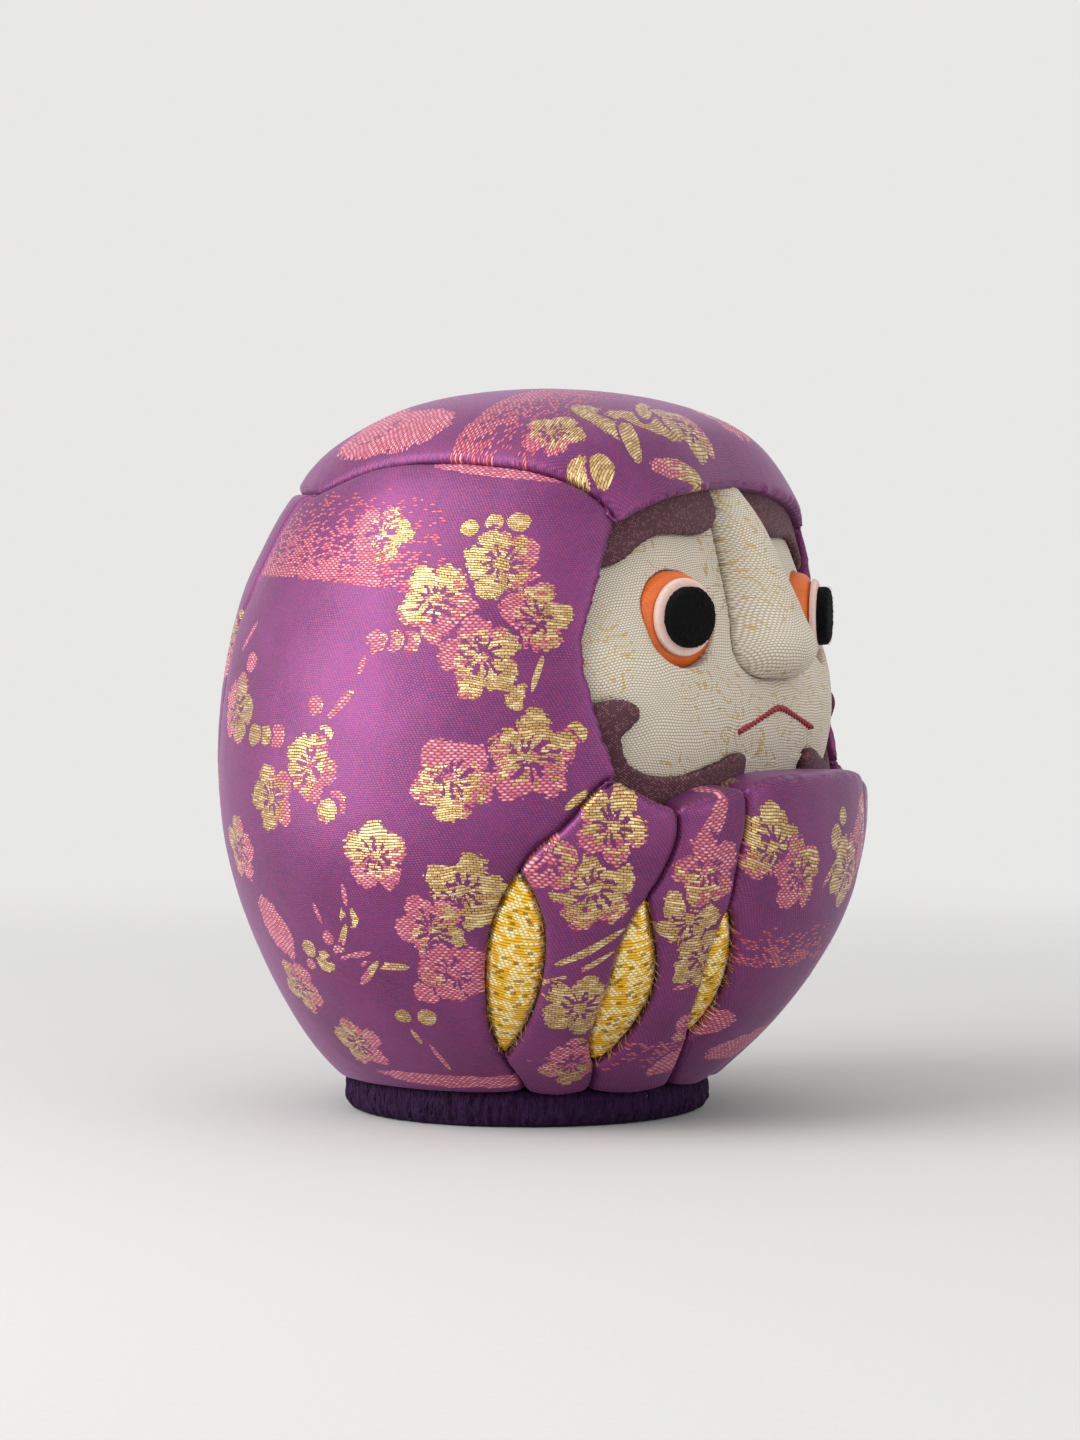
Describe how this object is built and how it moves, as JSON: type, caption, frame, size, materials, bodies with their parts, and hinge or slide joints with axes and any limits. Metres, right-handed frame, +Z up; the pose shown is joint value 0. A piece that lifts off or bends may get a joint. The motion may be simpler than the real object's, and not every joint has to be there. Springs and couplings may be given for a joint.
{
  "type": "daruma doll",
  "caption": "Cloth-covered tabletop daruma doll: brocade panels tucked into a grooved moulded core, padded face pieces, felt eyes, round crepe pad.",
  "frame": {"origin": "centre of the flat underside of the round pad, on the surface that the doll stands on", "axes": "+Z up; the doll looks along -Y; its own right is -X"},
  "size_m": [0.1066, 0.1071, 0.12],
  "materials": {
    "brocade": "satin-woven purple brocade with gold and rose weft",
    "gold_brocade": "glittering yellow gold brocade",
    "face_brocade": "cream figured brocade, matt",
    "mauve_crepe": "padded mauve-brown crepe",
    "orange_silk": "smooth orange silk, soft sheen",
    "pale_disc": "pale pink-white woven disc, satin",
    "black_felt": "wool felt, fuzzy",
    "red_cord": "twisted silk cord",
    "pad_crepe": "dark purple chirimen crepe",
    "wadding": "cotton wadding, unseen",
    "moulded_core": "pressed sawdust and paste, matt, unseen",
    "board": "thin wooden board, unseen",
    "paper": "thick washi paper, matt"
  },
  "bodies": {
    "root": {"back_panel": "brocade", "base_board": "board", "base_cover": "pad_crepe", "base_padding": "wadding", "base_sheet": "paper", "beard_left": "mauve_crepe", "beard_right": "mauve_crepe", "brow_left": "mauve_crepe", "brow_right": "mauve_crepe", "core_back": "moulded_core", "core_front": "moulded_core", "crown_panel": "brocade", "eye_white_left": "pale_disc", "eye_white_right": "pale_disc", "face_panel": "face_brocade", "gusset_inner_left": "gold_brocade", "gusset_inner_right": "gold_brocade", "gusset_middle_left": "gold_brocade", "gusset_middle_right": "gold_brocade", "gusset_outer_left": "gold_brocade", "gusset_outer_right": "gold_brocade", "iris_left": "orange_silk", "iris_pad_left": "wadding", "iris_pad_right": "wadding", "iris_right": "orange_silk", "mouth_cord": "red_cord", "nose_panel": "face_brocade", "pupil_left": "black_felt", "pupil_right": "black_felt", "robe_centre": "brocade", "robe_inner_left": "brocade", "robe_inner_right": "brocade", "robe_outer_left": "brocade", "robe_outer_right": "brocade", "side_panel_left": "brocade", "side_panel_right": "brocade"}
  },
  "joints": []
}
